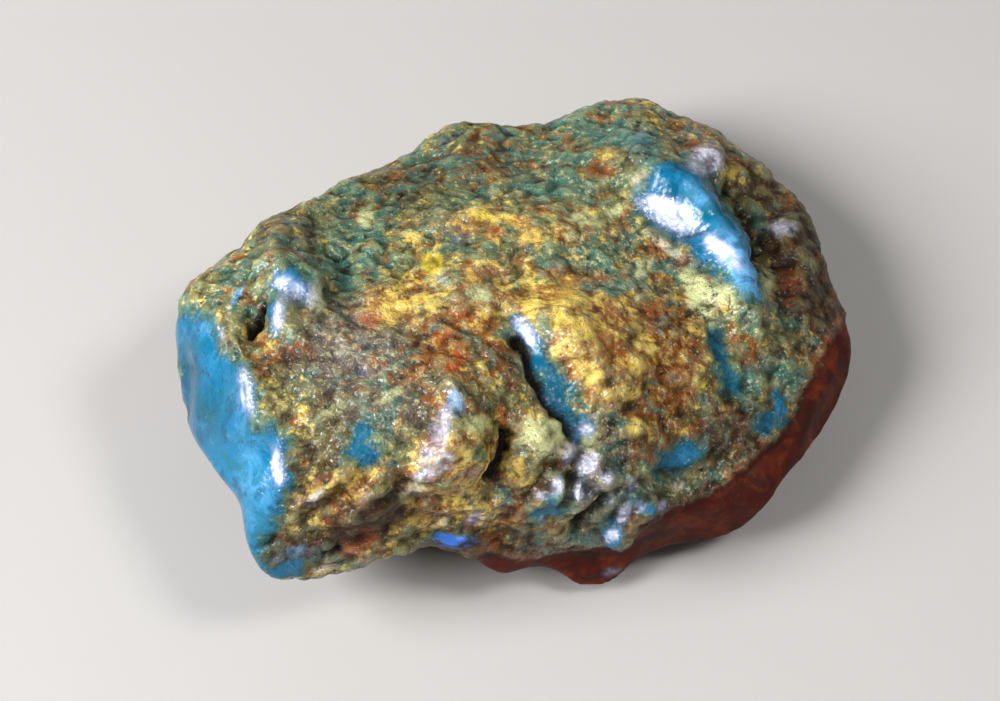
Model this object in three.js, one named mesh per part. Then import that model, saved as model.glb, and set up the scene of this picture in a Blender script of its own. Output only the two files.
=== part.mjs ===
// A rough nugget of blue amber: one natural solid in millimetres, +Z up, lying on a worn flat patch of its underside.
// It is laid out as it shows itself from the front and above, in three directions of its own:
//   across: along +X    up: up the lean of that view, to the back    out: towards the viewer, to the front and above
// The girdle is the outline of that view. It runs round the nugget at its own height over the table. The show side
// swells out of the girdle, with its broken faces cut and its knobs, hollows and grooves pressed in. The rest side
// swells back from the girdle and is broken off by the faces of the underside.
import * as THREE from "three";
import { ImprovedNoise } from "three/addons/math/ImprovedNoise.js";
import { mergeVertices } from "three/addons/utils/BufferGeometryUtils.js";

// Driving sizes.
const LENGTH = 52; // end to end, along X
const LEAN_DEG = 32; // how far the out direction leans forward from straight up
const MIDDLE_HEIGHT = 11.3; // the middle that across, up and out are measured from, over the table
const GIRDLE_DEPTH = 4; // how far back from the middle the girdle's surface dips at its centre
const SHOW_SWELL = 17.5; // how far the show side would stand out of the girdle, unbroken
const REST_SWELL = 17; // how far the rest side would stand back from it, unbroken
const SHOW_SQUARENESS = 3; // 2 is a round dome, and more is a flatter face with a tighter shoulder
const REST_SQUARENESS = 2.4;
const BELT = 0.35; // the share of the swell over which knobs and swellings fade away towards the girdle
const WEAR_PASSES = 1; // how many times the surface is worn towards its own average
const WEAR = 0.5; // how far each pass takes a point towards the average of its neighbours
const MESH_DETAIL = 33; // the sphere that is shaped has 8 * (detail + 1) ** 2 triangles, some edges on the girdle

// The girdle as [across, up, height over the table], anticlockwise from the right-hand corner.
const GIRDLE = [
  [28.1, 0.4, 5.4], [27.4, 3.8, 5], [26.6, 6.1, 5], [25.6, 10.2, 5], [24.5, 12.2, 5], [22.8, 13.9, 5],
  [20.7, 16.4, 4.5], [18.0, 18.6, 4.5], [16.1, 19.3, 5], [14.0, 19.9, 5], [12.5, 20.9, 5], [10.2, 21.2, 5.5],
  [7.6, 20.6, 6], [5.0, 19.3, 7], [3.3, 18.5, 8], [-1.6, 18.6, 9.5], [-4.1, 18.6, 10], [-5.7, 17.9, 10.5],
  [-8.0, 15.7, 11.5], [-11.9, 13.8, 12.5], [-15.7, 11.3, 13.5], [-18.6, 10.4, 14], [-20.2, 8.3, 14],
  [-23.0, 6.6, 14], [-24.6, 1.2, 13], [-24.1, -3.4, 12.5], [-23.3, -6.1, 12], [-20.6, -8.9, 11.5],
  [-19.4, -10.4, 11], [-18.8, -13.7, 10.5], [-18.1, -15.9, 10], [-16.6, -16.8, 10], [-14.7, -16.9, 10],
  [-8.2, -15.0, 9.5], [-5.6, -14.3, 7.5], [-3.1, -15.2, 4.5], [0.0, -16.9, 2.4], [3.1, -16.6, 2.5],
  [6.5, -18.1, 1.6], [8.1, -18.1, 1.6], [10.4, -16.1, 2.5], [12.7, -15.0, 3.5], [16.5, -14.6, 3.5],
  [18.9, -13.4, 4], [22.1, -9.7, 4.6], [25.4, -6.2, 4.8], [27.6, -1.9, 5],
];

// Broken faces of the show side. Each passes through at, as [across, up, height over the table]. It slopes down
// towards the plan bearing dipsTowards, 0 along +X and 90 along +Y, at dip degrees from level, and its edges are
// worn over the width of its rounding.
const SHOW_FACES = [
  { name: "crown", at: [-6.0, 2.0, 20.8], dipsTowards: 60, dip: 9, rounding: 3.0 },
  { name: "back slope", at: [2.0, 9.0, 17.8], dipsTowards: 84, dip: 22, rounding: 2.5 },
  { name: "right slope", at: [14.0, 4.0, 14.0], dipsTowards: 20, dip: 22, rounding: 2.5 },
  { name: "front right slope", at: [12.0, -7.7, 12.0], dipsTowards: 320, dip: 38, rounding: 2.0 },
  { name: "flank below", at: [15.6, -11.8, 8.2], dipsTowards: 296, dip: 73, rounding: 0.8 },
  { name: "flank right", at: [23.0, -6.4, 8.2], dipsTowards: 329, dip: 72, rounding: 0.8 },
  { name: "front wall", at: [2.0, -11.2, 13.0], dipsTowards: 284, dip: 80, rounding: 2.5 },
  { name: "front of the left lobe", at: [-10.0, -11.0, 18.5], dipsTowards: 256, dip: 58, rounding: 1.8 },
  { name: "left end break", at: [-20.8, -2.3, 19.0], dipsTowards: 206, dip: 61, rounding: 1.2 },
];

// Knobs (height above 0) and hollows (below 0) of the show side, as long ovals: turn is the long axis's bearing.
const SHOW_RELIEF = [
  { name: "left end ridge", at: [-18.6, -4.0], long: 6.0, wide: 1.2, turn: 103, height: 0.7 },
  { name: "left pit", at: [-18.0, 2.6], long: 1.9, wide: 1.2, turn: 70, height: -1.8 },
  { name: "left valley", at: [-11.8, 6.3], long: 3.4, wide: 1.6, turn: 75, height: -1.2 },
  { name: "lump beside the notch", at: [-2.2, -7.6], long: 2.6, wide: 2.0, turn: 80, height: 0.9 },
  { name: "pale lump", at: [3.2, -6.6], long: 2.4, wide: 2.0, turn: 0, height: 0.9 },
  { name: "middle swell", at: [8.6, 0.0], long: 6.0, wide: 4.5, turn: 110, height: 0.8 },
  { name: "knobbly brow", at: [7.6, -10.4], long: 4.4, wide: 2.6, turn: 200, height: 1.1 },
  { name: "brow end", at: [9.8, -13.6], long: 2.0, wide: 1.6, turn: 60, height: 0.9 },
  { name: "back knob left", at: [-3.6, 15.6], long: 2.8, wide: 2.2, turn: 0, height: 1.2 },
  { name: "back knob right", at: [9.8, 17.2], long: 4.0, wide: 2.4, turn: 10, height: 1.2 },
  { name: "back saddle", at: [2.4, 16.0], long: 2.8, wide: 2.2, turn: 90, height: -0.8 },
  { name: "scoop beside the rib", at: [12.8, 8.6], long: 4.8, wide: 2.4, turn: 135, height: -0.8 },
  { name: "right knob", at: [23.0, 7.4], long: 3.6, wide: 1.9, turn: 112, height: 1.1 },
  { name: "corner knob", at: [17.4, 15.4], long: 1.8, wide: 1.6, turn: 0, height: 0.8 },
  { name: "dimple by the flank", at: [13.8, -7.2], long: 2.4, wide: 1.5, turn: 15, height: -0.8 },
  { name: "ledge hollow", at: [-13.4, -13.6], long: 3.0, wide: 1.5, turn: 10, height: -1.0 },
];

// Grooves of the show side, each pressed in along the line between its points.
const SHOW_GROOVES = [
  { name: "long groove", path: [[0.6, 2.4], [3.0, -0.8], [4.6, -4.2], [5.8, -6.6]], wide: 1.4, depth: 1.7 },
  { name: "notch", path: [[0.2, -4.8], [-0.2, -7.4], [-0.2, -10.6]], wide: 1.3, depth: 1.4 },
  { name: "crevice by the rib", path: [[19.0, 12.4], [20.3, 9.0], [20.8, 5.4]], wide: 1.2, depth: 1.3 },
  { name: "short groove", path: [[17.2, 1.6], [17.7, -2.8]], wide: 1.3, depth: 1.0 },
  { name: "lower gully", path: [[9.0, -11.8], [12.2, -9.2], [16.0, -9.0]], wide: 1.2, depth: 0.8 },
];

// Ledges of the show side. Each rises over its foot to a crest along its path, and drops away behind it. The foot lies
// on the right-hand side of the way the path runs.
const SHOW_LEDGES = [
  { name: "right rib", path: [[12.6, 15.8], [15.0, 13.8], [17.3, 10.9], [19.0, 7.6], [19.9, 4.6]],
    foot: 5.2, drop: 0.9, height: 3.6 },
  { name: "wall of the left pit", path: [[-17.2, 6.6], [-15.4, 6.0], [-14.3, 4.6], [-14.6, 2.8]],
    foot: 2.6, drop: 1.4, height: 1.8 },
  { name: "wall of the long groove", path: [[1.4, 2.9], [3.8, 1.0], [5.8, -1.9], [7.1, -5.4]],
    foot: 2.0, drop: 3.0, height: 1.0 },
  { name: "bright ledge", path: [[-2.9, -2.4], [-2.8, -4.6], [-3.6, -7.2], [-4.0, -9.8]],
    foot: 2.6, drop: 1.2, height: 1.7 },
];

// Broken faces of the rest side. Each is square to its normal, [x, y, z], at a distance from the middle.
const REST_FACES = [
  { name: "under the left lobe", normal: [-0.61, 0.0, -0.79], distance: 16.3 },
  { name: "under the tooth", normal: [-0.45, -0.5, -0.74], distance: 20.0 },
  { name: "under the back left", normal: [-0.5, 0.55, -0.67], distance: 18.0 },
  { name: "under the back", normal: [0.05, 0.6, -0.8], distance: 24.5 },
  { name: "under the right end", normal: [0.6, 0.0, -0.8], distance: 23.2 },
  { name: "back of the patch", normal: [0.0, 0.2, -0.98], distance: 13.2 },
  { name: "right of the patch", normal: [0.27, 0.02, -0.963], distance: 14.1 },
  { name: "left of the patch", normal: [-0.3, 0.04, -0.95], distance: 12.0 },
  { name: "front of the patch", normal: [0.02, -0.28, -0.96], distance: 13.6 },
];
const REST_ROUNDING = 0.07; // how softly two rest faces meet, as a share of the distance
const REST_HOLD = 0.2; // the share of the swell next to the girdle over which the rest faces take hold

// Uneven swellings over the whole surface: the size of each swelling, and how far it stands out.
const SWELLINGS = [
  { size: 9.0, height: 1.2 },
  { size: 4.2, height: 0.7 },
  { size: 2.4, height: 0.3 },
];

const noise = new ImprovedNoise();
const radians = THREE.MathUtils.degToRad;
const ACROSS = new THREE.Vector3(1, 0, 0);
const UP = new THREE.Vector3(0, Math.cos(radians(LEAN_DEG)), Math.sin(radians(LEAN_DEG)));
const OUT = new THREE.Vector3(0, -Math.sin(radians(LEAN_DEG)), Math.cos(radians(LEAN_DEG)));

// The point at a place of the view, from the middle.
function pointAt(across, up, out) {
  return new THREE.Vector3().addScaledVector(ACROSS, across).addScaledVector(UP, up).addScaledVector(OUT, out);
}

// How far out a place is that stands at a height over the table.
function outAtHeight(up, height) {
  return (height - MIDDLE_HEIGHT - up * UP.z) / OUT.z;
}

// The smaller of a and b, rounded where they cross.
function softMin(a, b, width) {
  const share = THREE.MathUtils.clamp(0.5 + (b - a) / (2 * width), 0, 1);
  return THREE.MathUtils.lerp(b, a, share) - width * share * (1 - share);
}

// The girdle's radius and its out at a bearing, read off a smooth closed curve through its points.
function makeGirdle() {
  const corners = GIRDLE.map(([across, up, height]) => new THREE.Vector3(across, up, outAtHeight(up, height)));
  const curve = new THREE.CatmullRomCurve3(corners, true, "centripetal");
  const samples = curve
    .getSpacedPoints(1440)
    .slice(1)
    .map((p) => ({ bearing: Math.atan2(p.y, p.x), radius: Math.hypot(p.x, p.y), out: p.z }))
    .sort((a, b) => a.bearing - b.bearing);
  const [first, last] = [samples[0], samples[samples.length - 1]];
  samples.unshift({ ...last, bearing: last.bearing - 2 * Math.PI });
  samples.push({ ...first, bearing: first.bearing + 2 * Math.PI });
  return (bearing) => {
    const after = samples.findIndex((sample) => sample.bearing > bearing);
    const [a, b] = [samples[after - 1], samples[after]];
    return {
      radius: THREE.MathUtils.mapLinear(bearing, a.bearing, b.bearing, a.radius, b.radius),
      out: THREE.MathUtils.mapLinear(bearing, a.bearing, b.bearing, a.out, b.out),
    };
  };
}

const girdleAt = makeGirdle();

// How strongly an oval acts at a place: 1 at its middle, fading to nothing outside it.
function ovalShare({ at, long, wide, turn }, across, up) {
  const [a, u] = [across - at[0], up - at[1]];
  const along = a * Math.cos(radians(turn)) + u * Math.sin(radians(turn));
  const aside = u * Math.cos(radians(turn)) - a * Math.sin(radians(turn));
  return Math.exp(-((along / long) ** 2) - (aside / wide) ** 2);
}

function knobsAndHollows(across, up) {
  return SHOW_RELIEF.reduce((sum, oval) => sum + oval.height * ovalShare(oval, across, up), 0);
}

// How far a place lies from a path, below 0 on the right-hand side of the way the path runs.
function offsetFromPath(path, across, up) {
  const place = new THREE.Vector3(across, up, 0);
  const [closest, along] = [new THREE.Vector3(), new THREE.Vector3()];
  return path.slice(1).reduce((nearest, end, i) => {
    const stretch = new THREE.Line3(new THREE.Vector3(...path[i], 0), new THREE.Vector3(...end, 0));
    const distance = stretch.closestPointToPoint(place, true, closest).distanceTo(place);
    const isLeft = stretch.delta(along).cross(place.clone().sub(stretch.start)).z > 0;
    return distance < Math.abs(nearest) ? (isLeft ? distance : -distance) : nearest;
  }, Infinity);
}

function grooves(across, up) {
  return SHOW_GROOVES.reduce((sum, { path, wide, depth }) => {
    return sum + depth * Math.exp(-((offsetFromPath(path, across, up) / wide) ** 2));
  }, 0);
}

function ledges(across, up) {
  return SHOW_LEDGES.reduce((sum, { path, foot, drop, height }) => {
    const offset = offsetFromPath(path, across, up);
    const share = offset < 0 ? THREE.MathUtils.smoothstep(offset, -foot, 0) : Math.exp(-((offset / drop) ** 2));
    return sum + height * share;
  }, 0);
}

// Each show face's outward normal, and how far it lies from the middle along that.
const SHOW_PLANES = SHOW_FACES.map(({ at: [across, up, height], dipsTowards, dip, rounding }) => {
  const level = Math.sin(radians(dip));
  const normal = new THREE.Vector3(
    level * Math.cos(radians(dipsTowards)),
    level * Math.sin(radians(dipsTowards)),
    Math.cos(radians(dip)),
  );
  return { normal, distance: normal.dot(pointAt(across, up, outAtHeight(up, height))), rounding };
});

// How far out the show side stands at a place: its swell, less what the broken faces take off.
function cutShowSide(across, up, swell) {
  const foot = pointAt(across, up, 0);
  return SHOW_PLANES.reduce((out, { normal, distance, rounding }) => {
    return softMin(out, (distance - normal.dot(foot)) / normal.dot(OUT), rounding);
  }, swell);
}

// Breaks the rest side off at its faces, by drawing the point in towards the middle. Next to the girdle it holds on.
function cutRestSide(point, dome) {
  const share = REST_FACES.reduce((kept, { normal, distance }) => {
    const reach = point.dot(new THREE.Vector3(...normal).normalize());
    return reach > 0 ? softMin(kept, distance / reach, REST_ROUNDING) : kept;
  }, 1);
  return point.multiplyScalar(THREE.MathUtils.lerp(1, share, THREE.MathUtils.smoothstep(dome, 0, REST_HOLD)));
}

function swellings(point) {
  return SWELLINGS.reduce((sum, { size, height }) => {
    const [x, y, z] = [point.x / size + 7.3, point.y / size + 2.9, point.z / size + 5.1];
    return sum + height * noise.noise(x, y, z);
  }, 0);
}

// Turns a direction of the unit sphere into a point of the nugget, measured from the middle.
function nuggetPoint(direction) {
  const bearing = Math.atan2(direction.y, direction.x);
  const share = Math.min(1, Math.hypot(direction.x, direction.y));
  const rim = girdleAt(bearing);
  const [across, up] = [share * rim.radius * Math.cos(bearing), share * rim.radius * Math.sin(bearing)];
  const girdle = THREE.MathUtils.lerp(-GIRDLE_DEPTH, rim.out, share ** 2);
  const isShow = direction.z >= 0;
  const squareness = isShow ? SHOW_SQUARENESS : REST_SQUARENESS;
  const dome = (1 - share ** squareness) ** (1 / squareness);
  const clearOfBelt = THREE.MathUtils.smoothstep(dome, 0, BELT);

  let point;
  if (isShow) {
    const relief = knobsAndHollows(across, up) + ledges(across, up) - grooves(across, up);
    const out = cutShowSide(across, up, girdle + SHOW_SWELL * dome) + clearOfBelt * relief;
    point = pointAt(across, up, Math.max(girdle, out));
  } else {
    point = cutRestSide(pointAt(across, up, girdle - REST_SWELL * dome), dome);
  }
  const outward = point.clone().normalize();
  point.addScaledVector(outward, clearOfBelt * swellings(point));

  if (point.z < -MIDDLE_HEIGHT) {
    point.multiplyScalar(-MIDDLE_HEIGHT / point.z);
    point.z = -MIDDLE_HEIGHT;
  }
  return point;
}

// Wears the sharpest edges down, moving each point towards the average of its neighbours. The rest patch stays flat.
function wear(geometry) {
  const places = geometry.getAttribute("position");
  const index = geometry.getIndex();
  const neighbours = Array.from({ length: places.count }, () => []);
  for (let i = 0; i < index.count; i += 1) {
    const next = i % 3 === 2 ? i - 2 : i + 1;
    neighbours[index.getX(i)].push(index.getX(next));
  }
  const now = Array.from(neighbours, (_, i) => new THREE.Vector3().fromBufferAttribute(places, i));
  now.forEach((point, i) => {
    const average = new THREE.Vector3();
    neighbours[i].forEach((j) => average.addScaledVector(now[j], 1 / neighbours[i].length));
    const worn = point.clone().lerp(average, WEAR);
    places.setXYZ(i, worn.x, worn.y, point.z > -MIDDLE_HEIGHT ? worn.z : point.z);
  });
}

function nuggetGeometry() {
  const ball = new THREE.OctahedronGeometry(1, MESH_DETAIL);
  ball.deleteAttribute("normal");
  ball.deleteAttribute("uv");
  const geometry = mergeVertices(ball, 1e-5);
  const places = geometry.getAttribute("position");
  const direction = new THREE.Vector3();
  for (let i = 0; i < places.count; i += 1) {
    const point = nuggetPoint(direction.fromBufferAttribute(places, i).normalize());
    places.setXYZ(i, point.x, point.y, point.z);
  }
  for (let pass = 0; pass < WEAR_PASSES; pass += 1) wear(geometry);
  geometry.computeBoundingBox();
  const scale = LENGTH / (geometry.boundingBox.max.x - geometry.boundingBox.min.x);
  geometry.scale(scale, scale, scale);
  geometry.computeBoundingBox();
  const { min, max } = geometry.boundingBox;
  geometry.translate(-(min.x + max.x) / 2, -(min.y + max.y) / 2, -min.z);
  geometry.computeVertexNormals();
  return geometry;
}

const amber = new THREE.MeshStandardMaterial({ color: 0x6b5a34, roughness: 0.35, metalness: 0 });
const nugget = new THREE.Mesh(nuggetGeometry(), amber);
nugget.name = "amber_nugget";

const group = new THREE.Group();
group.add(nugget);
export default group;
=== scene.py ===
"""Rough blue amber nugget: one natural lump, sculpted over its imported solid, in a plain studio."""

import math
from contextlib import contextmanager
from typing import NamedTuple

import bmesh
import bpy
import numpy as np
from bpy.props import FloatProperty, FloatVectorProperty, IntProperty, PointerProperty
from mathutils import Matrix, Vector, noise


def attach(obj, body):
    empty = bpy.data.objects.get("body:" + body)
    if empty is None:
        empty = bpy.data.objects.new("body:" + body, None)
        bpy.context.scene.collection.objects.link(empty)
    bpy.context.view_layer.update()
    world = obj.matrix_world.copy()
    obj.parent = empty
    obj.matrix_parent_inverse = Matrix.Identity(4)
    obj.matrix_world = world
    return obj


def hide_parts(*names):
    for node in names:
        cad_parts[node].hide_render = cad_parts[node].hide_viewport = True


bl_info = {
    "name": "Blue Amber Nugget",
    "version": (1, 0, 0),
    "blender": (4, 5, 0),
    "location": "View3D > Sidebar > Amber",
    "description": "Builds a rough blue amber nugget and a plain studio round it",
    "category": "Object",
}

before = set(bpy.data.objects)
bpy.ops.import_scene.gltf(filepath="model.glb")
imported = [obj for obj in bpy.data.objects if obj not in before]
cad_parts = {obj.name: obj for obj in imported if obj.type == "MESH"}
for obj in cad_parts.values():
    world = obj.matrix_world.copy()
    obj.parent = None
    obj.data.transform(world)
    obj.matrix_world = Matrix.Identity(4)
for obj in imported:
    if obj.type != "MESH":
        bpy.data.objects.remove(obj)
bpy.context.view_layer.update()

MM = 0.001
NODE = "amber_nugget"

# The show side is laid out on a plan: u to the right and v up, in millimetres. The plan faces out of the
# show side, which leans forward. Its middle is a point inside the nugget, and places on the show side are
# seen on it from VIEW_REACH away.
LEAN = math.radians(32)
MIDDLE = np.array((-1.84, -3.38, 9.19))
VIEW_REACH = 213.0
RIGHT = np.array((1.0, 0.0, 0.0))
UP = np.array((0.0, math.cos(LEAN), math.sin(LEAN)))
OUT = np.array((0.0, -math.sin(LEAN), math.cos(LEAN)))

# Millimetres.
REST_HOLD = (0.05, 1.2)  # the heights between which the surface comes free of its resting patch
FRESH_EDGE = 1.1  # half the width over which fresh resin gives way to crust
FLANK_EDGE = 1.6  # half the width over which the bare flank gives way to crust

FACING_EDGE = 0.12  # how far either side of square to OUT the show side reaches, as a cosine
HIDDEN_RAGGEDNESS = 4  # how many times as ragged the fresh resin's edge is on the hidden sides
ROUNDING_LEVELS = 2
SMOOTHING_ROUNDS = 4
FINE_ROUNDS = 6  # rounds of smoothing that lose the crumbs
BROAD_ROUNDS = 60  # rounds of smoothing that lose the lumps and slits
GRAIN_SEED = 7  # the noise that makes grains uneven starts from the clock unless it is given a seed
LENS = 99.7
FLOOR_GAP = 0.02 * MM  # how far the floor lies below the resting patch


class Oval(NamedTuple):
    """A long oval on the plan: turn is its long axis's bearing, and height how far it stands out."""

    name: str
    at: tuple
    long: float
    wide: float
    turn: float
    height: float


class Crease(NamedTuple):
    """A line on the plan that is pressed in by depth, or raised where depth is below 0."""

    name: str
    path: tuple
    wide: float
    depth: float


class Ledge(NamedTuple):
    """A step on the plan: it rises over its foot to a crest along its path, and drops away behind it.

    The foot lies on the right-hand side of the way the path runs.
    """

    name: str
    path: tuple
    foot: float
    drop: float
    height: float


class Patch(NamedTuple):
    """A long oval of a zone or a stain on the plan, and how strongly it acts."""

    at: tuple
    long: float
    wide: float
    strength: float = 1.0
    turn: float = 0.0


def patches(*marks):
    return [Patch(*mark) for mark in marks]


# Knobs and beads, and dents and hollows where the height is below 0.
KNOBS = (
    Oval("head of the pit", (-17.8, 4.6), 0.8, 0.6, 20, 0.9),
    Oval("left wall of the pit", (-19.9, 2.8), 1.6, 0.7, 75, 0.3),
    Oval("lower lobe of the pit", (-16.8, 2.8), 1.4, 0.7, 80, 0.9),
    Oval("upper lobe of the pit", (-16.1, 5.0), 1.4, 0.8, 150, 0.5),
    Oval("knob left of the crevice", (-1.9, -8.0), 1.9, 1.4, 90, 0.7),
    Oval("pale crumbly knob", (3.2, -6.6), 1.9, 1.7, 0, 0.6),
    Oval("first droplet", (7.3, -8.6), 1.1, 0.9, 70, 1.2),
    Oval("second droplet", (4.5, -10.5), 1.0, 0.6, 80, 1.0),
    Oval("third droplet", (8.3, -10.1), 0.8, 0.6, 30, 0.8),
    Oval("long droplet", (10.2, -12.8), 1.6, 0.7, 65, 1.0),
    Oval("low droplet", (8.9, -14.3), 0.9, 0.8, 0, 0.9),
    Oval("right droplet", (11.4, -11.5), 0.9, 0.7, 50, 1.0),
    Oval("high droplet", (10.1, -10.2), 0.6, 0.5, 0, 0.7),
    Oval("small droplet", (6.1, -10.3), 0.4, 0.4, 0, 0.6),
    Oval("left droplet", (3.1, -11.2), 0.7, 0.5, 0, 0.6),
    Oval("bead by the crumbly knob", (5.3, -8.2), 0.6, 0.5, 40, 0.8),
    Oval("bead in the gap", (5.9, -11.0), 0.6, 0.5, 0, 0.9),
    Oval("lump over the droplets", (7.2, -6.4), 1.2, 0.9, 20, 0.6),
    Oval("lump right of them", (12.0, -6.6), 1.3, 0.9, 100, 0.6),
    Oval("gold rib in front", (-12.6, -10.0), 2.0, 0.6, 38, 0.8),
    Oval("second rib in front", (-14.8, -11.6), 1.6, 0.6, 42, 0.7),
    Oval("glint by the notch", (-1.4, -12.8), 1.0, 0.5, 20, 0.7),
    Oval("hanging drop", (7.4, -17.0), 2.0, 1.0, 15, 0.6),
    Oval("bead", (15.9, 14.5), 1.2, 1.1, 0, 1.5),
    Oval("dent in the bead", (16.0, 14.3), 0.5, 0.4, 0, -0.4),
    Oval("right ridge bead", (22.0, 9.4), 1.2, 0.9, 120, 0.8),
    Oval("right ridge swell", (23.6, 6.6), 1.6, 0.8, 110, 0.5),
    Oval("gold swell", (5.4, 1.6), 2.6, 1.6, 140, 0.5),
    Oval("ring knob", (8.6, -2.6), 1.6, 1.4, 0, 0.6),
    Oval("middle of the ring knob", (8.5, -2.5), 0.7, 0.6, 0, -0.6),
    Oval("gold crumb", (10.5, -1.1), 0.8, 1.0, 0, 0.5),
    Oval("low gold crumb", (10.6, -5.8), 0.9, 0.7, 0, 0.4),
    Oval("small knob", (-1.0, -11.9), 1.3, 0.7, 10, 0.6),
    Oval("dusty swell", (-12.2, 0.4), 3.2, 2.2, 30, 0.4),
    Oval("left upper lump", (-16.8, 8.2), 2.2, 1.3, 40, 0.8),
    Oval("left valley", (-12.4, 6.8), 2.4, 1.2, 80, -0.2),
    Oval("valley rim", (-10.2, 7.4), 2.4, 1.0, 80, 0.5),
    Oval("tooth hollow left", (-17.4, -14.9), 0.9, 0.6, 20, -0.6),
    Oval("tooth hollow right", (-13.0, -15.6), 1.2, 0.6, 20, -0.5),
)

LEDGES = (
    Ledge("upper lobe of the pit", ((-17.4, 6.6), (-15.6, 6.2), (-14.4, 5.0)), 2.0, 0.7, 0.9),
    Ledge("step on the bright knob", ((-3.6, -5.4), (-4.0, -7.4), (-5.6, -9.6)), 1.4, 0.6, 0.6),
    Ledge(
        "upper edge of the left end", ((-20.6, 1.2), (-19.4, -0.8), (-18.9, -3.2), (-18.9, -5.2)),
        0.9, 0.8, 0.35,
    ),
    Ledge("lower edge of the left end", ((-17.6, -6.0), (-16.7, -8.4), (-16.7, -11.0)), 0.9, 0.8, 0.35),
    Ledge("crest of the rib", ((13.0, 14.2), (15.6, 12.4), (17.6, 9.8), (19.2, 6.4)), 2.4, 0.5, 0.5),
)

# Slits, gaps and gullies, and ridges where the depth is below 0.
CREASES = (
    Crease("slit of the pit", ((-17.9, 3.3), (-18.4, 2.3), (-18.9, 1.5)), 0.35, 1.0),
    Crease("long slit", ((1.2, 0.9), (2.5, -1.5), (3.3, -3.3), (4.4, -5.1), (5.2, -6.6)), 0.4, 0.65),
    Crease("crevice", ((0.5, -6.2), (0.4, -7.4), (0.0, -8.6), (-0.4, -9.8)), 0.5, 0.8),
    Crease("rib crevice", ((17.4, 12.6), (18.7, 10.6), (19.6, 8.4), (20.2, 5.8)), 0.6, 0.7),
    Crease("short groove", ((16.6, 1.2), (17.1, -0.9), (18.0, -2.9)), 0.8, 0.25),
    Crease("gap below the droplets", ((10.8, -10.2), (8.8, -11.2), (7.0, -12.4), (5.8, -13.8)), 0.45, 0.7),
    Crease("gap left of the droplets", ((5.5, -8.4), (3.7, -9.2), (2.2, -11.4)), 0.4, 0.6),
    Crease("gap between the droplets", ((5.4, -9.6), (5.3, -10.8), (4.8, -12.0)), 0.3, 0.35),
    Crease("lower slant ridge", ((-12.0, -13.2), (-7.6, -11.6), (-3.6, -12.4)), 0.5, -0.3),
    Crease("step across the rib", ((17.0, 10.4), (15.9, 9.6), (14.4, 8.8)), 0.5, 0.2),
    Crease("slant gully", ((-15.4, -13.1), (-13.4, -11.6), (-11.8, -11.2)), 0.5, 0.3),
    Crease("slant ridge", ((-11.4, -12.6), (-10.0, -11.0), (-8.6, -10.4)), 0.5, -0.5),
)

# Fresh blue resin: the broken left end, the right wall of the long slit, and the curved rib.
FRESH_OUTLINES = (
    (
        (-25.8, 2.6), (-23.1, 2.9), (-22.0, 2.2), (-21.4, 0.4), (-20.0, -0.9), (-19.2, -2.3), (-18.8, -4.2),
        (-18.8, -5.8), (-17.1, -5.7), (-16.2, -6.8), (-16.2, -8.6), (-16.0, -9.8), (-16.6, -10.9),
        (-16.9, -12.7), (-17.4, -14.0), (-18.3, -14.4), (-18.3, -15.5), (-17.8, -16.8), (-16.9, -18.1),
        (-20.0, -18.1), (-21.9, -10.8), (-26.4, -6.6), (-24.6, -5.8), (-24.4, -4.6), (-25.6, -3.9),
        (-24.9, -3.0), (-24.3, -1.4), (-26.4, -0.3),
    ),
    (
        (0.8, 2.7), (1.6, 2.5), (3.1, 1.1), (3.8, -0.5), (4.8, -2.2), (5.6, -3.8), (6.2, -5.2), (6.8, -6.2),
        (5.6, -6.4), (4.5, -5.2), (3.5, -3.5), (2.6, -1.7), (1.5, 0.3),
    ),
    (
        (10.9, 12.8), (11.9, 14.2), (13.6, 14.3), (15.2, 13.4), (16.7, 12.1), (17.9, 10.5), (18.8, 8.7),
        (19.5, 7.0), (20.0, 5.2), (20.1, 3.9), (18.6, 4.4), (17.0, 5.6), (15.2, 6.9), (13.6, 8.4),
        (11.6, 9.8), (10.5, 11.4),
    ),
)

# Smaller spots of fresh resin. The height is how clearly the blue shows, from 0 to 1.
FRESH_SPOTS = (
    Oval("left spot, upper", (-10.8, -6.4), 1.5, 0.9, 70, 0.74),
    Oval("left spot, lower", (-10.5, -7.8), 1.8, 1.1, 165, 0.76),
    Oval("right spot", (14.0, -8.1), 2.3, 1.1, 20, 0.78),
    Oval("right edge spot", (21.5, -4.0), 1.2, 0.8, 120, 0.75),
    Oval("right edge spot, lower", (20.7, -5.5), 1.8, 0.8, 10, 0.72),
    Oval("short groove, upper", (16.8, 0.0), 2.0, 0.7, 100, 0.72),
    Oval("short groove, lower", (17.7, -2.2), 1.7, 0.8, 115, 0.72),
    Oval("notch glow", (-3.8, -14.4), 1.5, 0.7, 5, 0.85),
    Oval("foot of the left end", (-16.6, -16.9), 1.9, 0.7, 10, 0.78),
    Oval("droplet teal", (3.6, -12.3), 1.5, 0.8, 30, 0.74),
    Oval("tail of the groove", (6.2, -6.2), 0.9, 0.8, 0, 0.72),
    Oval("low droplet glaze", (8.5, -14.0), 1.3, 0.8, 50, 0.70),
    Oval("right droplet glaze", (10.8, -11.6), 0.9, 0.7, 0, 0.66),
    Oval("upper lobe of the pit", (-16.2, 4.8), 1.5, 1.0, 145, 0.85),
    Oval("lower lobe of the pit", (-17.0, 2.8), 1.4, 0.6, 80, 0.85),
)

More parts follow.
